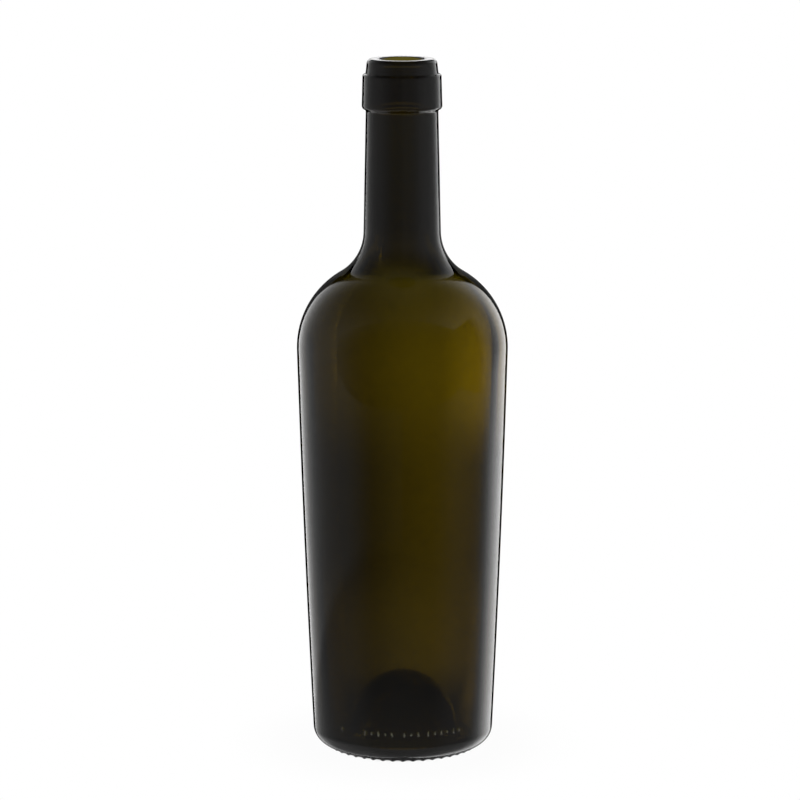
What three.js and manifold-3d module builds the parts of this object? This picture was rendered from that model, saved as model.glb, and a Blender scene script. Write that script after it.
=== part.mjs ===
// An empty wine bottle of dark olive glass: a tapered body with high round shoulders, a slim neck,
// a flat ring below the lip, a deep punt and a knurled foot. It is one hollow piece of glass,
// open at the mouth.
// Millimetres, +Z up, with the origin on the axis where the bottle stands.
import * as THREE from "three";
import { mergeVertices } from "three/addons/utils/BufferGeometryUtils.js";
import Module from "manifold-3d";

// Driving dimensions of the outside.
const TOTAL_HEIGHT = 295;
const SHOULDER_RADIUS = 44.7; // the widest place
const SHOULDER_HEIGHT = 172.8; // where the widest place is
const SHOULDER_ARC = 37.2; // radius of the shoulder's round in side view
const SHOULDER_TURN = 59.5; // degrees of that round, up to where the neck's sweep takes over
const NECK_SWEEP = 20.5; // radius of the hollow sweep into the neck
const NECK_TOP_RADIUS = 15.2;
const HEEL_RADIUS = 38.6; // the body's radius just above the heel's round
const HEEL_ARC = 7.2; // radius of the heel's round
const SIDE_CROWN = 0.43; // how far the tapered side bows out from a straight line

// Driving dimensions of the finish: the ring and the lip.
const RING_LOW_RADIUS = 16.87;
const RING_TOP_RADIUS = 16.53;
const RING_LOW_Z = 273.7;
const RING_TOP_Z = 288.6;
const RING_LOW_ARC = 1.7;
const RING_TOP_ARC = 0.9;
const LIP_FOOT_RADIUS = 15.2;
const LIP_RADIUS = 14.8;
const LIP_ARC = 2.2; // the round over the lip's outer edge
const LIP_STEP_ARC = 0.7; // the hollow between ring and lip
const BORE_RADIUS = 9.25; // an 18.5 mm cork bore
const BORE_ARC = 1.4; // the round into the bore
const BORE_STRAIGHT = 8; // depth over which the bore keeps its radius

// Driving dimensions of the glass.
const SHOULDER_WALL = 6.2; // straight across, so the shoulder's slope is thinner
const HEEL_WALL = 7.0;
const PUNT_TOP = 32; // height of the punt inside the bottle
const PUNT_DOME = 23; // radius of its round top, inside
const PUNT_GLASS = 7; // thickness of glass at the punt's top
const PUNT_UNDER_DOME = 16; // radius of its round top, underneath
const TROUGH_ARC = 4; // radius of the channel round the punt, inside
const TROUGH_FLOOR = 4.5; // height of that channel's floor

// Driving dimensions of the foot.
const FOOT_INNER_RADIUS = 26.2; // inner edge of the ring that carries the bottle
const FOOT_INNER_ARC = 2.4; // round from that ring up into the punt
const KNURLS = 48;
const KNURL_HEIGHT = 0.55;
const KNURL_INNER_RADIUS = 26.8;
const KNURL_OUTER_RADIUS = 32.8;
const KNURL_WIDTH = 2.0;
const KNURL_TIP_WIDTH = 0.9;
const KNURL_DEPTH = 1.2; // how far a knurl is rooted in the glass

// Fineness of the facets.
const ROUND_SEGMENTS = 60;
const CHORD_ERROR = 0.12;
const SIDE_STEPS = 4;

const radians = THREE.MathUtils.degToRad;

// Points on an arc in the profile plane, radius across and height up, ends included.
function arc(centre, radius, fromDegrees, toDegrees) {
  const turn = Math.abs(radians(toDegrees - fromDegrees));
  const steps = Math.max(2, Math.ceil(turn / (2 * Math.acos(1 - CHORD_ERROR / radius))));
  const points = [];
  for (let i = 0; i <= steps; i++) {
    const angle = radians(fromDegrees + ((toDegrees - fromDegrees) * i) / steps);
    points.push(new THREE.Vector2(centre.x + radius * Math.cos(angle), centre.y + radius * Math.sin(angle)));
  }
  return points;
}

// The direction, in degrees, from a dome's centre to the point where a straight flank leaves it
// to run tangent into a hollow round on its other side.
function flankDirection(dome, domeRadius, hollow, hollowRadius) {
  const across = hollow.x - dome.x;
  const down = dome.y - hollow.y;
  const lean = Math.acos((domeRadius + hollowRadius) / Math.hypot(across, down));
  return THREE.MathUtils.radToDeg(lean - Math.atan2(down, across));
}

// The side's radius at a share of its height, from the heel at 0 to the shoulder at 1.
function side(low, high, share) {
  return low + (high - low) * share + SIDE_CROWN * 4 * share * (1 - share);
}

// Points up the bowed side between two heights, without the ends.
function sidePoints(lowRadius, lowZ, highRadius, highZ) {
  const points = [];
  for (let i = 1; i < SIDE_STEPS; i++) {
    const share = i / SIDE_STEPS;
    points.push(new THREE.Vector2(side(lowRadius, highRadius, share), lowZ + (highZ - lowZ) * share));
  }
  return points;
}

const shoulderCentre = new THREE.Vector2(SHOULDER_RADIUS - SHOULDER_ARC, SHOULDER_HEIGHT);
const sweepReach = SHOULDER_ARC + NECK_SWEEP;
const sweepCentre = new THREE.Vector2(
  shoulderCentre.x + sweepReach * Math.cos(radians(SHOULDER_TURN)),
  shoulderCentre.y + sweepReach * Math.sin(radians(SHOULDER_TURN)),
);
const heelCentre = new THREE.Vector2(HEEL_RADIUS - HEEL_ARC, KNURL_HEIGHT + HEEL_ARC);

// The underside, from the punt's top on the axis out to the foot.
function undersideProfile() {
  const dome = new THREE.Vector2(0, PUNT_TOP - PUNT_GLASS - PUNT_UNDER_DOME);
  const foot = new THREE.Vector2(FOOT_INNER_RADIUS, KNURL_HEIGHT + FOOT_INNER_ARC);
  const flank = flankDirection(dome, PUNT_UNDER_DOME, foot, FOOT_INNER_ARC);
  return [
    ...arc(dome, PUNT_UNDER_DOME, 90, flank),
    ...arc(foot, FOOT_INNER_ARC, flank + 180, 270),
  ];
}

// The outer wall, from the foot up to the neck's top.
function wallProfile() {
  return [
    ...arc(heelCentre, HEEL_ARC, -90, 0),
    ...sidePoints(HEEL_RADIUS, heelCentre.y, SHOULDER_RADIUS, SHOULDER_HEIGHT),
    ...arc(shoulderCentre, SHOULDER_ARC, 0, SHOULDER_TURN),
    ...arc(sweepCentre, NECK_SWEEP, 180 + SHOULDER_TURN, 180).slice(1),
  ];
}

// The ring and the lip, from the neck's top over to the bore.
function finishProfile() {
  const ringLow = new THREE.Vector2(RING_LOW_RADIUS - RING_LOW_ARC, RING_LOW_Z + RING_LOW_ARC);
  const ringTop = new THREE.Vector2(RING_TOP_RADIUS - RING_TOP_ARC, RING_TOP_Z - RING_TOP_ARC);
  const step = new THREE.Vector2(LIP_FOOT_RADIUS + LIP_STEP_ARC, RING_TOP_Z + LIP_STEP_ARC);
  const lip = new THREE.Vector2(LIP_RADIUS - LIP_ARC, TOTAL_HEIGHT - LIP_ARC);
  const bore = new THREE.Vector2(BORE_RADIUS + BORE_ARC, TOTAL_HEIGHT - BORE_ARC);
  return [
    new THREE.Vector2(NECK_TOP_RADIUS, RING_LOW_Z - LIP_STEP_ARC),
    ...arc(ringLow, RING_LOW_ARC, -80, 0),
    ...arc(ringTop, RING_TOP_ARC, 0, 80),
    ...arc(step, LIP_STEP_ARC, 250, 180),
    ...arc(lip, LIP_ARC, 0, 90),
    ...arc(bore, BORE_ARC, 90, 180),
  ];
}

// The inner wall, from the bore down round the channel to the punt's top on the axis.
function insideProfile() {
  const innerShoulder = shoulderCentre.clone().setX(shoulderCentre.x - SHOULDER_WALL);
  const innerSweep = sweepCentre.clone().setX(sweepCentre.x - SHOULDER_WALL);
  const dome = new THREE.Vector2(0, PUNT_TOP - PUNT_DOME);
  const trough = new THREE.Vector2(HEEL_RADIUS - HEEL_WALL - TROUGH_ARC, TROUGH_FLOOR + TROUGH_ARC);
  const flank = flankDirection(dome, PUNT_DOME, trough, TROUGH_ARC);
  const wallTop = new THREE.Vector2(SHOULDER_RADIUS - SHOULDER_WALL, SHOULDER_HEIGHT);
  return [
    new THREE.Vector2(BORE_RADIUS, TOTAL_HEIGHT - BORE_STRAIGHT),
    ...arc(innerSweep, NECK_SWEEP, 180, 180 + SHOULDER_TURN),
    ...arc(innerShoulder, SHOULDER_ARC, SHOULDER_TURN, 0).slice(1),
    ...sidePoints(trough.x + TROUGH_ARC, trough.y, wallTop.x, wallTop.y).reverse(),
    ...arc(trough, TROUGH_ARC, 0, flank - 180),
    ...arc(dome, PUNT_DOME, flank, 90),
  ];
}

// The glass as one closed turned surface, without its knurls.
function turnedGlass() {
  const profile = [...undersideProfile(), ...wallProfile(), ...finishProfile(), ...insideProfile()];
  profile[0].x = 0;
  profile[profile.length - 1].x = 0;
  return new THREE.LatheGeometry(profile, ROUND_SEGMENTS).rotateX(Math.PI / 2);
}

// One knurl of the foot: a short ridge lying across the carrying ring, with a flat tip at the standing plane.
function knurl(turn) {
  const outline = new THREE.Shape([
    new THREE.Vector2(-KNURL_TIP_WIDTH / 2, 0),
    new THREE.Vector2(KNURL_TIP_WIDTH / 2, 0),
    new THREE.Vector2(KNURL_WIDTH / 2, KNURL_HEIGHT + KNURL_DEPTH),
    new THREE.Vector2(-KNURL_WIDTH / 2, KNURL_HEIGHT + KNURL_DEPTH),
  ]);
  const length = KNURL_OUTER_RADIUS - KNURL_INNER_RADIUS;
  return new THREE.ExtrudeGeometry(outline, { depth: length, bevelEnabled: false })
    .rotateX(Math.PI / 2)
    .translate(0, KNURL_OUTER_RADIUS, 0)
    .rotateZ(turn);
}

const wasm = await Module();
wasm.setup();

// A closed geometry as a solid, with shared vertices merged and collapsed triangles dropped.
function solidOf(geometry) {
  const bare = new THREE.BufferGeometry().setAttribute("position", geometry.getAttribute("position"));
  bare.setIndex(geometry.index);
  const merged = mergeVertices(bare, 1e-3);
  const corners = merged.index.array;
  const kept = [];
  for (let i = 0; i < corners.length; i += 3) {
    const [a, b, c] = corners.slice(i, i + 3);
    if (a !== b && b !== c && c !== a) kept.push(a, b, c);
  }
  const vertProperties = new Float32Array(merged.getAttribute("position").array);
  return new wasm.Manifold(new wasm.Mesh({ numProp: 3, vertProperties, triVerts: new Uint32Array(kept) }));
}

// A solid's surface as a geometry to draw.
function geometryOf(solid) {
  const mesh = solid.getMesh();
  const geometry = new THREE.BufferGeometry();
  geometry.setAttribute("position", new THREE.BufferAttribute(new Float32Array(mesh.vertProperties), 3));
  geometry.setIndex(new THREE.BufferAttribute(new Uint32Array(mesh.triVerts), 1));
  geometry.computeVertexNormals();
  return geometry;
}

// The whole bottle: the turned glass with its knurls joined on.
function bottle() {
  const pieces = [solidOf(turnedGlass())];
  for (let i = 0; i < KNURLS; i++) {
    pieces.push(solidOf(knurl((2 * Math.PI * i) / KNURLS)));
  }
  const glass = wasm.Manifold.union(pieces);
  const material = new THREE.MeshStandardMaterial({ color: 0x2b2409, roughness: 0.05, metalness: 0 });
  const mesh = new THREE.Mesh(geometryOf(glass), material);
  mesh.name = "bottle";
  return mesh;
}

const wineBottle = new THREE.Group();
wineBottle.name = "wine_bottle";
wineBottle.add(bottle());

export default wineBottle;
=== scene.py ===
"""An empty wine bottle of dark olive glass, standing on white, lit as a studio lights glass.

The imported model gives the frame: the bottle's axis is Z and it stands on Z = 0. The glass is drawn here
again with fine round curves and replaces the faceted solid. Lengths are in millimetres.
"""

import math

import bmesh
import bpy
from mathutils import Matrix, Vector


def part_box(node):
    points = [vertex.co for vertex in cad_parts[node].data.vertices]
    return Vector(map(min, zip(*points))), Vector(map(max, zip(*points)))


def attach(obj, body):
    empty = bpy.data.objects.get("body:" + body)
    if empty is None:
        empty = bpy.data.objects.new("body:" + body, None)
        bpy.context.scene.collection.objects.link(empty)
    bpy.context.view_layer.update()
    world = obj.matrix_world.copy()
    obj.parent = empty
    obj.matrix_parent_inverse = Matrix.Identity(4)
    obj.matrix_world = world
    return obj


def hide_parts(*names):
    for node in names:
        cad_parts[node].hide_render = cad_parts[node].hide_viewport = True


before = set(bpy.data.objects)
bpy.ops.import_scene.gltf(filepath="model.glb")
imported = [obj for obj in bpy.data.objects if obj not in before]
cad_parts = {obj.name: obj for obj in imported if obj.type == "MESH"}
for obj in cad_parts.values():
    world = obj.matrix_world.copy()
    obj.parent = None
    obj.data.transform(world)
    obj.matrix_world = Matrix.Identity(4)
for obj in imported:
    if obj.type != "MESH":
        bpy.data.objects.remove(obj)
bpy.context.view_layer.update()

MM = 0.001
NODE = "bottle"
high_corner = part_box(NODE)[1]

# The outside of the glass.
TOTAL_HEIGHT = high_corner[2] / MM
SHOULDER_RADIUS = high_corner[0] / MM
SHOULDER_HEIGHT = 172.8
SHOULDER_ARC = 37.2
SHOULDER_TURN = 59.5  # degrees of the shoulder's round
NECK_SWEEP = 20.5  # radius of the hollow sweep into the neck
NECK_TOP_RADIUS = 15.2
HEEL_RADIUS = 38.6
HEEL_ARC = 7.2
SIDE_CROWN = 0.43  # how far the side bows out in its middle

# The ring and the lip.
RING_LOW_RADIUS, RING_TOP_RADIUS = 16.87, 16.53
RING_LOW_Z, RING_TOP_Z = 273.7, 288.6
RING_LOW_ARC, RING_TOP_ARC = 1.7, 0.9
LIP_FOOT_RADIUS, LIP_RADIUS = 15.2, 14.8
LIP_ARC, LIP_STEP_ARC = 2.2, 0.7
RING_TURN, LIP_STEP_TURN = 80, 70  # degrees of the ring's rounds and of the hollow under the lip
BORE_RADIUS, BORE_ARC, BORE_STRAIGHT = 9.25, 1.4, 8

# The thickness of the glass and the punt.
SHOULDER_WALL, HEEL_WALL = 6.2, 7.0  # straight across
PUNT_TOP, PUNT_DOME = 32, 23
PUNT_GLASS, PUNT_UNDER_DOME = 7, 16
TROUGH_ARC, TROUGH_FLOOR = 4, 4.5

# The foot, with its short ridges across the carrying ring.
FOOT_INNER_RADIUS, FOOT_INNER_ARC = 26.2, 2.4
KNURLS, KNURL_HEIGHT = 48, 0.55
KNURL_INNER_RADIUS, KNURL_OUTER_RADIUS, KNURL_FADE = 26.8, 32.8, 1.0
KNURL_SHARPNESS = 1.6
KNURL_LIMIT = 2.5  # places more than this many ridge heights up have none

# A row of small plain raised marks round the front of the heel, in groups. Each group has the angle, in
# degrees, that it starts at and how many marks it has.
MARK_GROUPS = ((-41, 1), (-24, 5), (1, 3), (16, 6))
MARK_STEP, MARK_Z = 4.3, 13.8
MARK_HALF = (0.6, 0.5, 1.45)  # half the width, depth and height of one
MARK_SHORT = 0.7  # every second one is shorter
MARK_SUNK = 0.12  # how far its middle lies inside the wall
MARK_ROUND, MARK_RISE = 16, 10  # faces round one and from its foot to its top

# Fineness of the drawn glass.
ROUND_SEGMENTS = KNURLS * 6
CHORD_ERROR = 0.012
MOST_TURN = 8  # degrees between two points of an arc
SIDE_STEPS = 24
LONGEST_STEP = 5  # a longer straight part of the profile gets points between
TIGHT_STEP = 0.15  # and a point this near each end, so that it stays straight when shaded
FINER = 4  # but only if a step beside it is this many times finer

# The glass itself: how much light one metre takes out of each colour.
GLASS_IOR = 1.52
ABSORPTION = (300.0, 331.0, 700.0)


def arc(centre, radius, start, end):
    """Points on an arc in the profile plane, from one angle in degrees to another, ends included."""
    turn = math.radians(end - start)
    by_chord = abs(turn) / (2 * math.acos(1 - CHORD_ERROR / radius))
    by_angle = abs(turn) / math.radians(MOST_TURN)
    steps = max(2, math.ceil(max(by_chord, by_angle)))
    angles = [math.radians(start) + turn * i / steps for i in range(steps + 1)]
    return [(centre[0] + radius * math.cos(a), centre[1] + radius * math.sin(a)) for a in angles]


def flank_direction(dome, dome_radius, hollow, hollow_radius):
    """The angle at which a straight flank leaves a dome to run tangent into a hollow round beside it."""
    across, down = hollow[0] - dome[0], dome[1] - hollow[1]
    lean = math.acos((dome_radius + hollow_radius) / math.hypot(across, down))
    return math.degrees(lean - math.atan2(down, across))


def side_radius(low_radius, high_radius, share):
    """The radius of the slightly bowed side at a share of its height."""
    return low_radius + (high_radius - low_radius) * share + SIDE_CROWN * 4 * share * (1 - share)


def side_points(low_radius, low_z, high_radius, high_z):
    """Points up the side, without its ends."""
    points = []
    for i in range(1, SIDE_STEPS):
        share = i / SIDE_STEPS
        points.append((side_radius(low_radius, high_radius, share), low_z + (high_z - low_z) * share))
    return points


shoulder_centre = (SHOULDER_RADIUS - SHOULDER_ARC, SHOULDER_HEIGHT)
sweep_centre = (
    shoulder_centre[0] + (SHOULDER_ARC + NECK_SWEEP) * math.cos(math.radians(SHOULDER_TURN)),
    shoulder_centre[1] + (SHOULDER_ARC + NECK_SWEEP) * math.sin(math.radians(SHOULDER_TURN)),
)
heel_centre = (HEEL_RADIUS - HEEL_ARC, KNURL_HEIGHT + HEEL_ARC)


def underside_profile():
    """From the punt's top on the axis out to the foot."""
    dome = (0, PUNT_TOP - PUNT_GLASS - PUNT_UNDER_DOME)
    foot = (FOOT_INNER_RADIUS, KNURL_HEIGHT + FOOT_INNER_ARC)
    flank = flank_direction(dome, PUNT_UNDER_DOME, foot, FOOT_INNER_ARC)
    return arc(dome, PUNT_UNDER_DOME, 90, flank) + arc(foot, FOOT_INNER_ARC, flank + 180, 270)


def wall_profile():
    """From the foot up to the neck."""
    return (
        arc(heel_centre, HEEL_ARC, -90, 0)
        + side_points(HEEL_RADIUS, heel_centre[1], SHOULDER_RADIUS, SHOULDER_HEIGHT)
        + arc(shoulder_centre, SHOULDER_ARC, 0, SHOULDER_TURN)
        + arc(sweep_centre, NECK_SWEEP, 180 + SHOULDER_TURN, 180)[1:]
    )


def finish_profile():
    """From the neck's top over the ring and the lip into the bore."""
    ring_low = (RING_LOW_RADIUS - RING_LOW_ARC, RING_LOW_Z + RING_LOW_ARC)
    ring_top = (RING_TOP_RADIUS - RING_TOP_ARC, RING_TOP_Z - RING_TOP_ARC)
    step = (LIP_FOOT_RADIUS + LIP_STEP_ARC, RING_TOP_Z + LIP_STEP_ARC)
    lip = (LIP_RADIUS - LIP_ARC, TOTAL_HEIGHT - LIP_ARC)
    bore = (BORE_RADIUS + BORE_ARC, TOTAL_HEIGHT - BORE_ARC)
    return (
        [(NECK_TOP_RADIUS, RING_LOW_Z - LIP_STEP_ARC)]
        + arc(ring_low, RING_LOW_ARC, -RING_TURN, 0)
        + arc(ring_top, RING_TOP_ARC, 0, RING_TURN)
        + arc(step, LIP_STEP_ARC, 180 + LIP_STEP_TURN, 180)
        + arc(lip, LIP_ARC, 0, 90)
        + arc(bore, BORE_ARC, 90, 180)
    )


def inside_profile():
    """From the bore down the inner wall and round the channel to the punt's top on the axis."""
    inner_shoulder = (shoulder_centre[0] - SHOULDER_WALL, shoulder_centre[1])
    inner_sweep = (sweep_centre[0] - SHOULDER_WALL, sweep_centre[1])
    dome = (0, PUNT_TOP - PUNT_DOME)
    trough = (HEEL_RADIUS - HEEL_WALL - TROUGH_ARC, TROUGH_FLOOR + TROUGH_ARC)
    flank = flank_direction(dome, PUNT_DOME, trough, TROUGH_ARC)
    trough_edge = trough[0] + TROUGH_ARC
    inner_wall = side_points(trough_edge, trough[1], SHOULDER_RADIUS - SHOULDER_WALL, SHOULDER_HEIGHT)
    return (
        [(BORE_RADIUS, TOTAL_HEIGHT - BORE_STRAIGHT)]
        + arc(inner_sweep, NECK_SWEEP, 180, 180 + SHOULDER_TURN)
        + arc(inner_shoulder, SHOULDER_ARC, SHOULDER_TURN, 0)[1:]
        + inner_wall[::-1]
        + arc(trough, TROUGH_ARC, 0, flank - 180)
        + arc(dome, PUNT_DOME, flank, 90)
    )


def with_supports(profile):
    """The same profile with points added along its long straight parts, where they meet fine curves."""
    lengths = [math.dist(start, end) for start, end in zip(profile, profile[1:])]
    points = [profile[0]]
    for step, (start, end) in enumerate(zip(profile, profile[1:])):
        length = lengths[step]
        finest = min(lengths[max(0, step - 1) : step + 2])
        if length > LONGEST_STEP and length > finest * FINER:
            count = math.ceil(length / LONGEST_STEP)
            even_shares = [i / count for i in range(1, count)]
            for share in [TIGHT_STEP / length, *even_shares, 1 - TIGHT_STEP / length]:
                points.append([a + (b - a) * share for a, b in zip(start, end)])
        points.append(end)
    return points


def smooth(low, high, value):
    """A soft step from 0 at low to 1 at high."""
    share = min(1, max(0, (value - low) / (high - low)))
    return share * share * (3 - 2 * share)


def knurl_drop(radius, height, turn):
    """How far the foot's ridges reach down at a place on the underside, given by its angle round the axis."""
    if height > KNURL_HEIGHT * KNURL_LIMIT:
        return 0
    rise = smooth(KNURL_INNER_RADIUS - KNURL_FADE, KNURL_INNER_RADIUS, radius)
    fall = smooth(KNURL_OUTER_RADIUS + KNURL_FADE, KNURL_OUTER_RADIUS, radius)
    ridge = (0.5 + 0.5 * math.cos(KNURLS * turn)) ** KNURL_SHARPNESS
    return height * rise * fall * ridge


def mesh_object(name, mesh):
    """Turns a mesh under construction into an object of the scene, shaded smooth."""
    for face in mesh.faces:
        face.smooth = True
    data = bpy.data.meshes.new(name)
    mesh.to_mesh(data)
    mesh.free()
    piece = bpy.data.objects.new(name, data)
    bpy.context.collection.objects.link(piece)
    return piece


def turned_mesh(name, profile):
    """A closed mesh turned round Z from a profile that starts and ends on the axis."""
    mesh = bmesh.new()
    first = mesh.verts.new((0, 0, profile[0][1] * MM))
    last = mesh.verts.new((0, 0, profile[-1][1] * MM))
    rings = []
    for radius, height in profile[1:-1]:
        ring = []
        for i in range(ROUND_SEGMENTS):
            turn = 2 * math.pi * i / ROUND_SEGMENTS
            z = height - knurl_drop(radius, height, turn)
            ring.append(mesh.verts.new((radius * math.cos(turn) * MM, radius * math.sin(turn) * MM, z * MM)))
        rings.append(ring)
    for i in range(ROUND_SEGMENTS):
        j = (i + 1) % ROUND_SEGMENTS
        mesh.faces.new((first, rings[0][j], rings[0][i]))
        for below, above in zip(rings, rings[1:]):
            mesh.faces.new((below[i], below[j], above[j], above[i]))
        mesh.faces.new((last, rings[-1][i], rings[-1][j]))
    return mesh_object(name, mesh)


def glass_material():
    """Clear smooth glass whose depth takes out blue most and red least, which leaves dark olive."""
    material = bpy.data.materials.new("olive_glass")
    material.use_nodes = True
    nodes, links = material.node_tree.nodes, material.node_tree.links
    shader = nodes["Principled BSDF"]
    shader.inputs["Base Color"].default_value = (1, 1, 1, 1)
    shader.inputs["Roughness"].default_value = 0.0
    shader.inputs["IOR"].default_value = GLASS_IOR
    shader.inputs["Transmission Weight"].default_value = 1.0
    volume = nodes.new("ShaderNodeVolumeAbsorption")
    strongest = max(ABSORPTION)
    volume.inputs["Color"].default_value = [1 - part / strongest for part in ABSORPTION] + [1]
    volume.inputs["Density"].default_value = strongest
    links.new(volume.outputs["Volume"], nodes["Material Output"].inputs["Volume"])
    return material


def outer_radius(z):
    """The outside radius of the side at a height."""
    share = (z - heel_centre[1]) / (SHOULDER_HEIGHT - heel_centre[1])
    return side_radius(HEEL_RADIUS, SHOULDER_RADIUS, share)


def marks_mesh(name):
    """Small upright rounded bars, half sunk in the wall round the front of the heel."""
    mesh = bmesh.new()
    distance = outer_radius(MARK_Z) - MARK_SUNK
    for first, count in MARK_GROUPS:
        for i in range(count):
            turn = math.radians(first + i * MARK_STEP)
            place = Matrix.Rotation(turn, 4, "Z") @ Matrix.Translation((0, -distance * MM, MARK_Z * MM))
            half_width, half_depth, half_height = MARK_HALF
            if i % 2:
                half_height *= MARK_SHORT
            shape = place @ Matrix.Diagonal((half_width * MM, half_depth * MM, half_height * MM, 1))
            bmesh.ops.create_uvsphere(
                mesh, u_segments=MARK_ROUND, v_segments=MARK_RISE, radius=1, matrix=shape
            )
    return mesh_object(name, mesh)


profile = underside_profile() + wall_profile() + finish_profile() + inside_profile()
bottle = turned_mesh("bottle_glass", with_supports(profile))
marks = marks_mesh("heel_marks")
glass = glass_material()
for piece in (bottle, marks):
    piece.data.materials.append(glass)
    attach(piece, "root")
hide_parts(NODE)


class Sum:
    """Writes arithmetic on shader sockets as nodes."""

    def __init__(self, tree):
        self.tree = tree

    def put(self, socket, value):
        """Gives a socket a number or another socket's value."""
        if isinstance(value, (int, float)):
            socket.default_value = value
        else:
            self.tree.links.new(value, socket)

    def coordinate(self, kind, axis):
        """One part of a texture coordinate."""
        split = self.tree.nodes.new("ShaderNodeSeparateXYZ")
        source = self.tree.nodes.new("ShaderNodeTexCoord").outputs[kind]
        self.tree.links.new(source, split.inputs["Vector"])
        return split.outputs[axis]

    def place(self, axis):
        """Where a point of a studio piece is along an axis, in millimetres."""
        return self.times(self.coordinate("Object", axis), 1 / MM)

    def math(self, operation, *values):
        """One operation of Blender's math node."""
        node = self.tree.nodes.new("ShaderNodeMath")
        node.operation = operation
        for socket, value in zip(node.inputs, values):
            self.put(socket, value)
        return node.outputs["Value"]

    def add(self, *values):
        """The sum of all the values."""
        total = values[0]
        for value in values[1:]:
            total = self.math("ADD", total, value)
        return total

    def times(self, *values):
        """The product of all the values."""
        total = values[0]
        for value in values[1:]:
            total = self.math("MULTIPLY", total, value)
        return total

    def step(self, value, low, high):
        """A soft step from 0 at low to 1 at high."""
        node = self.tree.nodes.new("ShaderNodeMapRange")
        node.interpolation_type = "SMOOTHSTEP"
        self.put(node.inputs["Value"], value)
        node.inputs["From Min"].default_value = low
        node.inputs["From Max"].default_value = high
        return node.outputs["Result"]

    def fade(self, value, start, length):
        """Falls from 1 at start, by half for about each 0.7 lengths."""
        away = self.math("DIVIDE", self.math("SUBTRACT", start, value), length)
        return self.math("EXPONENT", away)

    def choose(self, switch, when_off, when_on):
        """One value at a switch of 0, the other at 1, and a mix between."""
        return self.add(when_off, self.times(switch, self.math("SUBTRACT", when_on, when_off)))


# The studio round the bottle, by angles in degrees: round it from straight behind, and up.
BACKGROUND = 1.0

# What the glass mirrors: two panels behind it at both sides, past a dark gap.
PANEL_EDGE = 24  # where both panels start
PANEL_EDGE_SOFT = 1.2
EDGE_OUT_FROM, EDGE_OUT_TO, EDGE_OUT_BY = 5, 60, 12  # higher up they start further out
PANEL_HEIGHT = 24  # degrees up at which they are half as bright
PANEL_FADE, PANEL_END = 28, 70  # and between which they end
LEFT_LIGHT, LEFT_FADE = 1.8, 17  # the left panel fades outward
LEFT_HIGH_FROM, LEFT_HIGH_TO, LEFT_HIGH_SHARE = -6, 4, 0.75  # it is dimmer higher up
LEFT_LOW_FROM, LEFT_LOW_TO, LEFT_LOW_SHARE = -16.8, -17.6, 0.55  # and ends above the floor
RIGHT_LIGHT, RIGHT_END, RIGHT_SOFT = 1.75, 60, 8  # the right panel is even, with a soft outer end
NARROW_FROM, NARROW_TO, NARROW_BY = -13.5, -7.5, 14  # it is narrower higher up

# Even light past the panels, low down and higher up. Towards the camera a share of it, the rest, is left.
LOW_FILL = {"left": 0.25, "right": 0.13, "fade_from": 108, "fade_to": 150, "rest": 0.2}
HIGH_FILL = {"left": 0.28, "right": 0.36, "fade_from": 105, "fade_to": 160, "rest": 0.5}
HIGH_FROM, HIGH_TO = -11.5, -8.5  # degrees up between which one fill turns into the other
HIGH_FADE, HIGH_END = 10, 70  # and between which the high one ends

# The pale floor near the bottle, which the bottle itself shades further down, the more the further behind
# a line of sight goes. Then a weak light from above, and the dark gap, which is less dark higher up.
FLOOR_LIGHT, FLOOR_FROM, FLOOR_TO = 0.36, -16, -28
FLOOR_DIM_FROM, FLOOR_DIM_TO = -30, -42
FLOOR_OPEN, FLOOR_SHUT, FLOOR_UNDER = -0.1, 0.8, 0.15
CEILING_LIGHT, CEILING_FROM, CEILING_TO = 0.08, 25, 85
GAP_LIGHT, GAP_FROM, GAP_TO = 0.05, -8, 0
GAP_OUTER, GAP_INNER = 55, 35  # it ends between these, at both sides

# What shows through the glass: behind it, brighter upwards to BEHIND_TOP, at its sides and before it.
BEHIND_DARK, BEHIND_LIGHT, BEHIND_TOP, BEHIND_FADE = 0.06, 0.75, -5, 0.35
ROOM_THROUGH, ROOM_THROUGH_FROM, ROOM_THROUGH_TO = 0.3, 75, 100
FRONT_THROUGH, FRONT_THROUGH_FROM, FRONT_THROUGH_TO = 1.2, 104, 128
THROUGH_FADE, THROUGH_END = 12, 35  # nothing shows through from above


def panel_light(s, away, rise, is_right):
    """The two panels, without the gap between them."""
    left_share = s.choose(s.step(rise, LEFT_HIGH_FROM, LEFT_HIGH_TO), 1, LEFT_HIGH_SHARE)
    left = s.times(s.fade(away, PANEL_EDGE, LEFT_FADE), left_share, LEFT_LIGHT)
    narrowed = s.times(s.step(rise, NARROW_FROM, NARROW_TO), NARROW_BY)
    past_right = s.times(s.add(away, narrowed, -RIGHT_END), 1 / RIGHT_SOFT)
    right = s.math("DIVIDE", RIGHT_LIGHT, s.add(1, s.math("EXPONENT", past_right)))
    height = s.math("DIVIDE", s.math("MAXIMUM", rise, 0), PANEL_HEIGHT)
    panels = s.math("DIVIDE", s.choose(is_right, left, right), s.add(1, s.times(height, height)))
    return s.times(panels, s.step(rise, PANEL_END, PANEL_FADE))


def fill_light(s, away, rise, is_right):
    """The even light beside and past the panels."""
    fills = []
    for fill in (LOW_FILL, HIGH_FILL):
        faded = s.choose(s.step(away, fill["fade_from"], fill["fade_to"]), 1, fill["rest"])
        fills.append(s.times(s.choose(is_right, fill["left"], fill["right"]), faded))
    low_fill, high_fill = fills
    high_fill = s.times(high_fill, s.step(rise, HIGH_END, HIGH_FADE))
    return s.choose(s.step(rise, HIGH_FROM, HIGH_TO), low_fill, high_fill)


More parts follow.
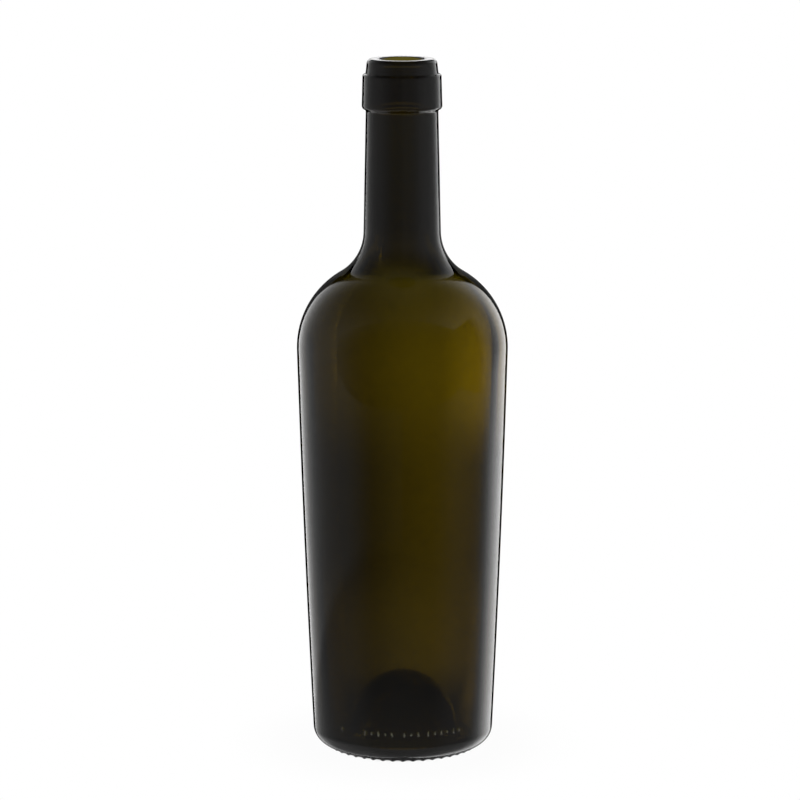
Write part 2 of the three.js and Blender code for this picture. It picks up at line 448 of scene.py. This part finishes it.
def mirrored_light(s, y, away, rise, is_right):
    """All that the glass mirrors, by a direction's part along Y, its angle from behind and its rise."""
    edge_out = s.times(s.step(rise, EDGE_OUT_FROM, EDGE_OUT_TO), -EDGE_OUT_BY)
    past_gap = s.step(s.add(away, edge_out), PANEL_EDGE - PANEL_EDGE_SOFT, PANEL_EDGE + PANEL_EDGE_SOFT)
    is_low_left = s.times(s.step(rise, LEFT_LOW_FROM, LEFT_LOW_TO), s.math("SUBTRACT", 1, is_right))
    low_share = s.choose(is_low_left, 1, LEFT_LOW_SHARE)
    beside = s.add(panel_light(s, away, rise, is_right), fill_light(s, away, rise, is_right))
    unshaded = s.math("MAXIMUM", s.step(y, FLOOR_SHUT, FLOOR_OPEN), FLOOR_UNDER)
    floor_share = s.choose(s.step(rise, FLOOR_DIM_FROM, FLOOR_DIM_TO), 1, unshaded)
    near_floor = s.times(s.step(rise, FLOOR_FROM, FLOOR_TO), floor_share, FLOOR_LIGHT)
    ceiling = s.times(s.step(rise, CEILING_FROM, CEILING_TO), CEILING_LIGHT)
    is_gap = s.times(s.step(rise, GAP_FROM, GAP_TO), s.step(away, GAP_OUTER, GAP_INNER))
    gap = s.times(is_gap, s.step(rise, PANEL_END, PANEL_FADE), GAP_LIGHT)
    return s.add(s.times(beside, past_gap, low_share), near_floor, ceiling, gap)


def light_through(s, away, rise):
    """All that shows through the glass past the card behind it."""
    behind_fade = s.math("MINIMUM", 1, s.fade(s.times(rise, -1), -BEHIND_TOP, BEHIND_FADE))
    behind = s.add(BEHIND_DARK, s.times(behind_fade, BEHIND_LIGHT))
    is_aside = s.step(away, ROOM_THROUGH_FROM, ROOM_THROUGH_TO)
    is_before = s.step(away, FRONT_THROUGH_FROM, FRONT_THROUGH_TO)
    through = s.choose(is_before, s.choose(is_aside, behind, ROOM_THROUGH), FRONT_THROUGH)
    return s.times(through, s.step(rise, THROUGH_END, THROUGH_FADE))


def make_world():
    """White to the camera. The glass has its own light in its mirrored and in its clear view."""
    world = bpy.data.worlds.new("studio")
    bpy.context.scene.world = world
    world.use_nodes = True
    tree = world.node_tree
    s = Sum(tree)
    x, y, z = (s.coordinate("Generated", axis) for axis in "XYZ")
    turn = s.math("DEGREES", s.math("ARCTAN2", x, y))
    away = s.math("ABSOLUTE", turn)
    rise = s.math("DEGREES", s.math("ARCSINE", z))
    is_right = s.math("GREATER_THAN", turn, 0)
    mirrored = mirrored_light(s, y, away, rise, is_right)
    through = light_through(s, away, rise)
    path = tree.nodes.new("ShaderNodeLightPath")
    to_glass = s.choose(path.outputs["Is Transmission Ray"], mirrored, through)
    background = tree.nodes["Background"]
    background.inputs["Color"].default_value = (1, 1, 1, 1)
    s.put(background.inputs["Strength"], s.choose(path.outputs["Is Camera Ray"], to_glass, BACKGROUND))


def plane(name, corners):
    """A flat four-sided mesh that is part of the studio, not of the bottle."""
    data = bpy.data.meshes.new(name)
    data.from_pydata([[part * MM for part in corner] for corner in corners], [], [(0, 1, 2, 3)])
    made = bpy.data.objects.new(name, data)
    bpy.context.collection.objects.link(made)
    return made


def upright(name, start, end, bottom, top):
    """An upright plane between two places on the plan."""
    return plane(name, [(*start, bottom), (*end, bottom), (*end, top), (*start, top)])


def facing(name, y, half_width, bottom, top):
    """An upright plane that faces the camera."""
    return upright(name, (-half_width, y), (half_width, y), bottom, top)


def light_up(made, glow, kind):
    """Makes a studio piece glow, and shows it to one kind of ray only.

    The glow is a number, or a function that works it out from the place on the piece.
    """
    material = bpy.data.materials.new(made.name)
    material.use_nodes = True
    tree = material.node_tree
    tree.nodes.clear()
    emission = tree.nodes.new("ShaderNodeEmission")
    output = tree.nodes.new("ShaderNodeOutputMaterial")
    tree.links.new(emission.outputs["Emission"], output.inputs["Surface"])
    s = Sum(tree)
    s.put(emission.inputs["Strength"], glow(s) if callable(glow) else glow)
    made.data.materials.append(material)
    made.visible_camera = kind == "camera"
    made.visible_glossy = kind == "glossy"
    made.visible_transmission = kind == "transmission"
    made.visible_diffuse = False
    made.visible_shadow = False


# A card close behind the bottle, which the glass glows from. It is brightest at the upper right.
CARD = {"y": 46, "half_width": 80, "bottom": -14, "top": 228}
CARD_DARK = 0.06  # what is left above the fade
CARD_RIM_LIGHT, CARD_RIM_FROM, CARD_RIM_TO = 0.2, 210, 218  # a weak glow that ends near the top
CARD_FADE_TOP, CARD_FADE_FROM = 208, 150  # heights between which the card fades, at its top
CARD_FADE_LOW, CARD_FADE_END = 26, -1  # and at its foot
CARD_ASIDE_FROM, CARD_ASIDE_TO, CARD_ASIDE_LOW = 27, 46, 8  # past these it reaches lower
CARD_RAMP_LEFT, CARD_RAMP_RIGHT, CARD_RAMP_LIGHT = -40, 52, 2.8
CARD_EDGE_FROM, CARD_EDGE_TO = 44, 68  # the ramp falls again past its bright side
CARD_UPPER_FROM, CARD_UPPER_TO, CARD_UPPER_LIGHT = 108, 152, 0.75
CARD_LOWER_FROM, CARD_LOWER_TO, CARD_LOWER_LIGHT = 72, 40, 0.5
CARD_LEFT_FROM, CARD_LEFT_TO, CARD_LEFT_LIGHT = -10, -40, 0.5  # above and below only
CARD_SPOT_FROM, CARD_SPOT_TO, CARD_SPOT_LIGHT = 15, 75, 16  # above only
CARD_CORNER_FROM, CARD_CORNER_TO, CARD_CORNER_LIGHT = 34, 60, 3.0  # below only

# Small cards near the top, each seen only in the glass: a white one that the top of the lip mirrors, a bright
# one behind the mouth, and dark flags behind the neck and the sweep under it.
LIP_CARD = {"y": 120, "half_width": 60, "bottom": 296.5, "top": 335}
LIP_CARD_FADE = 306  # the height below which it grows dark
MOUTH_CARD = {"y": 17.5, "half_width": 34, "bottom": 288, "top": 297}
NECK_FLAG = {"y": 60, "half_width": 62, "bottom": 226, "top": 295}
SWEEP_FLAG = {"y": 28, "half_width": 38, "bottom": 204, "top": 234}
LIP_CARD_LIGHT, MOUTH_CARD_LIGHT = 1.4, 0.48
NECK_FLAG_LIGHT, SWEEP_FLAG_LIGHT = 0, 0.08

# Two dark flags, before the shoulder and to its right. The neck looks over them.
FLAG_FRONT_Y, FLAG_LEFT = -60, -120
FLAG_RIGHT_X, FLAG_BACK = 70, -12
FLAG_BOTTOM, FLAG_TOP = 150, 213
FRONT_FLAG_LIGHT, FRONT_FLAG_TOP_LIGHT, FRONT_FLAG_FROM = 0.02, 0.03, 190
FRONT_FLAG_SIDE_FROM, FRONT_FLAG_SIDE_TO = 15, 105
FRONT_FLAG_LEFT_LIGHT, FRONT_FLAG_RIGHT_LIGHT = 0.18, 0.02
SIDE_FLAG_LIGHT, SIDE_FLAG_MORE, SIDE_FLAG_FROM, SIDE_FLAG_TO = 0.05, 0.43, -33, -8

# The floor, with a shade close under the foot and a very faint one round it.
FLOOR_HALF = 4000
SHADE_FROM, SHADE_TO, SHADE_LIGHT = 29, 33, 0.08
DIM_FROM, DIM_TO, DIM_BY = 36, 82, 0.025


def card_glow(s):
    """A ramp up to the right, with more light in the upper and the lower part, and soft ends."""
    x, z = s.place("X"), s.place("Z")
    ramp_shape = s.times(s.step(x, CARD_RAMP_LEFT, CARD_RAMP_RIGHT), s.step(x, CARD_EDGE_TO, CARD_EDGE_FROM))
    ramp = s.times(ramp_shape, CARD_RAMP_LIGHT)
    left = s.times(s.step(x, CARD_LEFT_FROM, CARD_LEFT_TO), CARD_LEFT_LIGHT)
    spot = s.times(s.step(x, CARD_SPOT_FROM, CARD_SPOT_TO), CARD_SPOT_LIGHT)
    is_upper = s.step(z, CARD_UPPER_FROM, CARD_UPPER_TO)
    is_lower = s.step(z, CARD_LOWER_FROM, CARD_LOWER_TO)
    upper = s.times(is_upper, s.add(CARD_UPPER_LIGHT, left, spot))
    corner = s.times(s.step(x, CARD_CORNER_FROM, CARD_CORNER_TO), CARD_CORNER_LIGHT)
    lower = s.times(is_lower, s.add(CARD_LOWER_LIGHT, left, corner))
    is_aside = s.step(s.math("ABSOLUTE", x), CARD_ASIDE_FROM, CARD_ASIDE_TO)
    aside_end = s.times(s.step(z, CARD["bottom"], CARD_ASIDE_LOW), is_aside)
    low_end = s.math("MAXIMUM", s.step(z, CARD_FADE_END, CARD_FADE_LOW), aside_end)
    ends = s.times(low_end, s.step(z, CARD_FADE_TOP, CARD_FADE_FROM))
    rim = s.times(s.step(z, CARD_RIM_TO, CARD_RIM_FROM), low_end, CARD_RIM_LIGHT)
    return s.add(CARD_DARK, rim, s.times(ends, s.add(ramp, upper, lower)))


def lip_card_glow(s):
    """Even, but dark towards the foot."""
    return s.times(s.step(s.place("Z"), LIP_CARD["bottom"], LIP_CARD_FADE), LIP_CARD_LIGHT)


def front_flag_glow(s):
    """Nearly black, with a little light at the top and towards the sides."""
    x, z = s.place("X"), s.place("Z")
    top = s.times(s.step(z, FRONT_FLAG_FROM, FLAG_TOP), FRONT_FLAG_TOP_LIGHT)
    left = s.times(s.step(x, -FRONT_FLAG_SIDE_FROM, -FRONT_FLAG_SIDE_TO), FRONT_FLAG_LEFT_LIGHT)
    right = s.times(s.step(x, FRONT_FLAG_SIDE_FROM, FRONT_FLAG_SIDE_TO), FRONT_FLAG_RIGHT_LIGHT)
    return s.add(FRONT_FLAG_LIGHT, top, left, right)


def side_flag_glow(s):
    """Dark in front and lighter towards the back."""
    return s.add(SIDE_FLAG_LIGHT, s.times(s.step(s.place("Y"), SIDE_FLAG_FROM, SIDE_FLAG_TO), SIDE_FLAG_MORE))


def floor_glow(s):
    """White, with a faint soft shade at the foot."""
    x, y = s.place("X"), s.place("Y")
    radius = s.math("SQRT", s.add(s.times(x, x), s.times(y, y)))
    open_light = s.add(BACKGROUND, s.times(s.step(radius, DIM_TO, DIM_FROM), -DIM_BY))
    return s.choose(s.step(radius, SHADE_FROM, SHADE_TO), SHADE_LIGHT, open_light)


def make_cards():
    """The cards and flags that face the camera."""
    light_up(facing("back_card", **CARD), card_glow, "transmission")
    light_up(facing("lip_card", **LIP_CARD), lip_card_glow, "glossy")
    light_up(facing("mouth_card", **MOUTH_CARD), MOUTH_CARD_LIGHT, "transmission")
    light_up(facing("neck_flag", **NECK_FLAG), NECK_FLAG_LIGHT, "glossy")
    light_up(facing("sweep_flag", **SWEEP_FLAG), SWEEP_FLAG_LIGHT, "glossy")


def make_shoulder_flags():
    """The two dark flags, which meet at a corner."""
    left, corner, back = (FLAG_LEFT, FLAG_FRONT_Y), (FLAG_RIGHT_X, FLAG_FRONT_Y), (FLAG_RIGHT_X, FLAG_BACK)
    light_up(upright("front_flag", left, corner, FLAG_BOTTOM, FLAG_TOP), front_flag_glow, "glossy")
    light_up(upright("side_flag", corner, back, FLAG_BOTTOM, FLAG_TOP), side_flag_glow, "glossy")


def make_floor():
    """A white floor that runs into the background."""
    low, high = -FLOOR_HALF, FLOOR_HALF
    floor = plane("floor", [(low, low, 0), (high, low, 0), (high, high, 0), (low, high, 0)])
    light_up(floor, floor_glow, "camera")


# The camera of the photograph, worked out from the ellipses of the mouth and the foot.
CAMERA_DISTANCE, CAMERA_HEIGHT = 1425.8, 419.9
CAMERA_PITCH = 10.72  # degrees down
CAMERA_YAW = 0.026  # degrees to the left, which puts the axis just right of the middle
CAMERA_ROLL = 0.08
IMAGE_WIDTH, FOCAL_PIXELS, SENSOR = 800, 3413, 36.0
FARTHEST_SEEN = 50_000


def make_camera():
    """A camera with the photograph's place and view."""
    data = bpy.data.cameras.new("camera")
    data.sensor_width = SENSOR
    data.lens = FOCAL_PIXELS / IMAGE_WIDTH * SENSOR
    data.clip_end = FARTHEST_SEEN * MM
    camera = bpy.data.objects.new("camera", data)
    camera.location = (0, -CAMERA_DISTANCE * MM, CAMERA_HEIGHT * MM)
    camera.rotation_euler = [math.radians(turn) for turn in (90 - CAMERA_PITCH, CAMERA_ROLL, CAMERA_YAW)]
    bpy.context.collection.objects.link(camera)
    bpy.context.scene.camera = camera


make_world()
make_cards()
make_shoulder_flags()
make_floor()
make_camera()
bpy.context.scene.view_settings.view_transform = "Standard"
